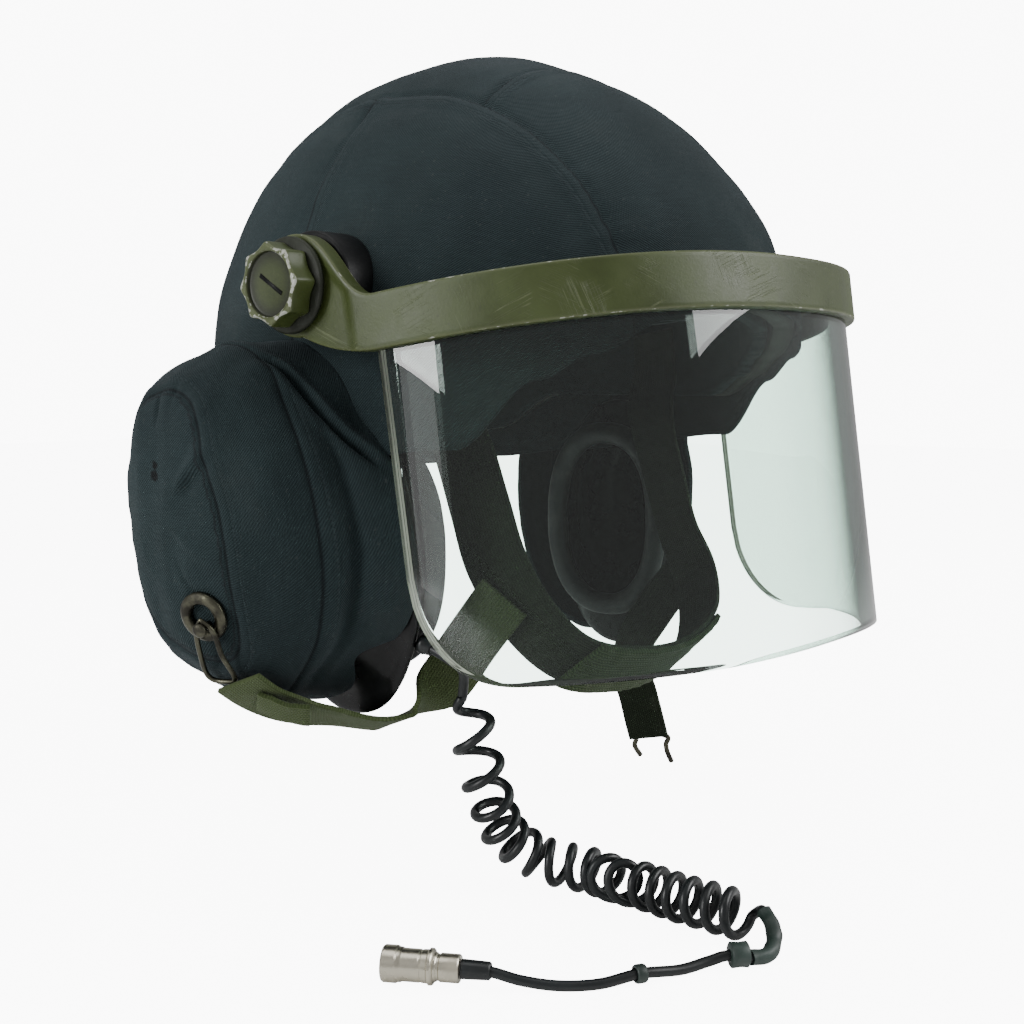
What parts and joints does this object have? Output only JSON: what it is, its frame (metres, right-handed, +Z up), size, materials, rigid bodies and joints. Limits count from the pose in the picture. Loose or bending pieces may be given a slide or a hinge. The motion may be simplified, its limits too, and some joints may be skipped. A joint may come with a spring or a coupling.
{
  "type": "ballistic helmet",
  "caption": "Fabric-covered ballistic crew helmet with padded ear covers, a thick clear tilting visor, webbing straps and a curly cord with a round connector.",
  "frame": {"origin": "middle of the lining at the crown, where the helmet rests on a head", "axes": "+Z up, the face looks along -Y, the right side of the wearer is -X"},
  "size_m": [0.36, 0.3222, 0.3662],
  "materials": {
    "navy_twill": "matt cotton twill with seams",
    "dark_lining": "matt padded lining",
    "shell": "matt moulded shell",
    "olive_paint": "worn satin olive paint",
    "clear_visor": "thick clear laminate with light scratches",
    "black_plastic": "glossy black",
    "black_rubber": "satin black",
    "olive_webbing": "woven webbing",
    "aged_brass": "blackened and worn",
    "green_sleeve": "dull shrunk sleeve",
    "nickel": "satin nickel"
  },
  "bodies": {
    "helmet": {"cover": "navy_twill", "ear_cover_right": "navy_twill", "ear_cover_left": "navy_twill", "shell": "shell", "lining": "dark_lining", "ear_seal_right": "dark_lining", "ear_seal_left": "dark_lining", "ear_cup_right": "black_plastic", "ear_cup_left": "black_plastic", "pivot_base_right": "black_plastic", "pivot_base_left": "black_plastic", "knob_washer_right": "black_rubber", "knob_washer_left": "black_rubber", "chin_strap": "olive_webbing", "chin_cup": "olive_webbing", "hook_strap_right": "olive_webbing", "hook_strap_left": "olive_webbing", "strap_tail_right": "olive_webbing", "wire_hook_right": "aged_brass", "wire_hook_left": "aged_brass", "eyelet_right": "aged_brass", "eyelet_left": "aged_brass", "stud_right": "aged_brass", "stud_left": "aged_brass", "cord_coil": "black_rubber", "cord_lead": "black_rubber", "cord_tail": "black_rubber", "cord_gland": "black_rubber", "connector_boot": "black_rubber", "cord_sleeve": "green_sleeve", "cord_sleeve_ring": "green_sleeve", "cord_tie": "green_sleeve", "connector": "nickel"},
    "visor": {"visor_frame": "olive_paint", "visor": "clear_visor"},
    "knob_right": {"knob_right": "olive_paint"},
    "knob_left": {"knob_left": "olive_paint"}
  },
  "joints": [
    {"name": "visor_tilt", "type": "hinge", "parent": "helmet", "child": "visor", "pos_m": [0, -0.017, -0.093], "axis": [-1, 0, 0], "range_deg": [0, 75]},
    {"name": "knob_turn_right", "type": "hinge", "parent": "helmet", "child": "knob_right", "pos_m": [-0.145, -0.017, -0.093], "axis": [-1, 0, 0], "range_deg": [0, 180]},
    {"name": "knob_turn_left", "type": "hinge", "parent": "helmet", "child": "knob_left", "pos_m": [0.145, -0.017, -0.093], "axis": [1, 0, 0], "range_deg": [0, 180]}
  ]
}
